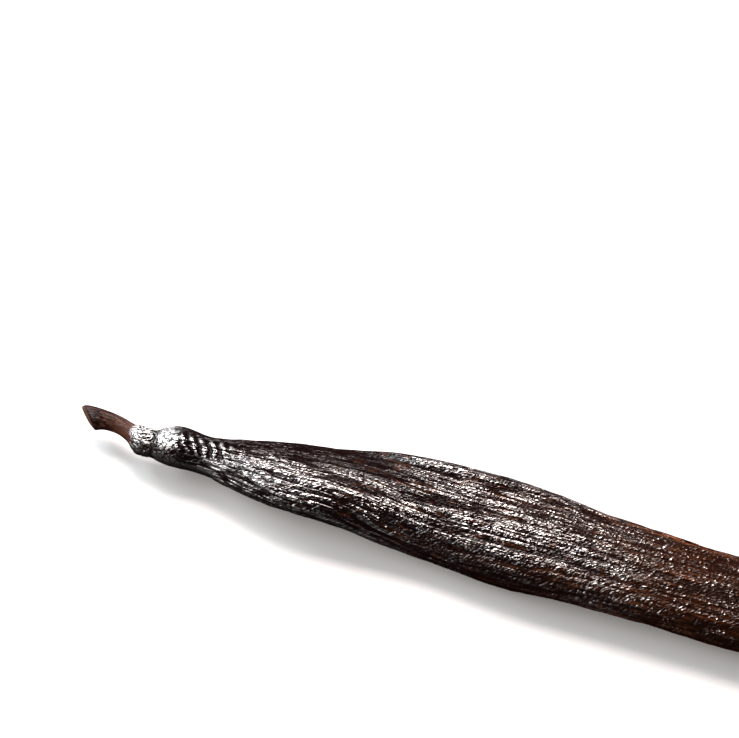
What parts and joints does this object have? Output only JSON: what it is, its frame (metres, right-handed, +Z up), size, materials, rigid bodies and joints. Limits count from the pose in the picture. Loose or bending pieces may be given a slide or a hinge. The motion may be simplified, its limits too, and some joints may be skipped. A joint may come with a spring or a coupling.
{
  "type": "vanilla pod",
  "caption": "Cured vanilla pod lying on its side: long, flattened and wrinkled lengthwise, with a cut stalk at one end and a drawn-in blossom tip at the other.",
  "frame": {"origin": "centre of the pod's footprint box, on the surface it lies on", "axes": "+X along the pod from the cut stalk to the blossom tip, +Z up, +Y across the pod"},
  "size_m": [0.1664, 0.0126, 0.0065],
  "materials": {
    "pod_skin": "oily, glossy, wrinkled dark brown skin"
  },
  "bodies": {
    "root": {"pod": "pod_skin"}
  },
  "joints": []
}
